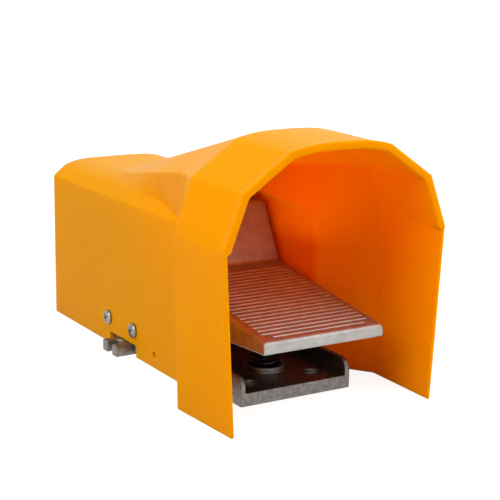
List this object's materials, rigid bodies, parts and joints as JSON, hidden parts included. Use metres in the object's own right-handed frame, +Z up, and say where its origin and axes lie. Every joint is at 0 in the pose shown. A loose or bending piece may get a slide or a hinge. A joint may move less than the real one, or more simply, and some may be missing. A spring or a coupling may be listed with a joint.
{
  "type": "pneumatic foot switch",
  "caption": "Foot pedal under a moulded guard with an arched toe hood; pressing the tread pushes a spool down in a five-port air valve whose ports face the rear.",
  "frame": {"origin": "on the floor, in the middle of the guard's length and width", "axes": "+Z up, -Y towards the foot that presses the pedal, +Y towards the ports, +X to the right as seen by the user"},
  "size_m": [0.13, 0.246, 0.1375],
  "materials": {
    "guard_plastic": "moulded, satin gloss",
    "cast_base": "die cast",
    "cast_pedal": "die cast, tumbled",
    "valve_metal": "die cast and machined",
    "plated_steel": "zinc plated",
    "dark_steel": "black oxide",
    "bronze": "sintered",
    "seal_rubber": "matt"
  },
  "bodies": {
    "housing": {"guard": "guard_plastic", "guard_screws": "plated_steel", "base": "cast_base", "pivot_bushes": "bronze", "pedal_spring": "dark_steel", "valve_body": "valve_metal", "valve_screws": "dark_steel", "valve_cap": "valve_metal", "cap_screws": "plated_steel", "cap_gasket": "seal_rubber", "wiper_seal": "seal_rubber", "spool_spring": "plated_steel", "end_plug": "valve_metal", "end_plug_seal": "seal_rubber"},
    "pedal": {"pedal": "cast_pedal", "pivot_pin": "plated_steel", "pivot_circlips": "dark_steel", "pedal_bumpers": "seal_rubber", "adjuster_screw": "dark_steel", "adjuster_nut": "plated_steel"},
    "spool": {"spool": "valve_metal", "spool_seals": "seal_rubber", "plunger": "plated_steel"}
  },
  "joints": [
    {"name": "pedal_hinge", "type": "hinge", "parent": "housing", "child": "pedal", "pos_m": [0, 0.092, 0.068], "axis": [1, 0, 0], "range_deg": [0, 4.5], "stiffness_Nm_per_rad": 25, "springref_deg": -5.73, "deforming": ["pedal_spring"]},
    {"name": "spool_slide", "type": "slide", "parent": "housing", "child": "spool", "axis": [0, 0, -1], "range_m": [0, 0.0034], "deforming": ["spool_spring"]}
  ],
  "couplings": [
    {"joint": "spool_slide", "follows": "pedal_hinge", "m_per_rad": 0.042}
  ]
}
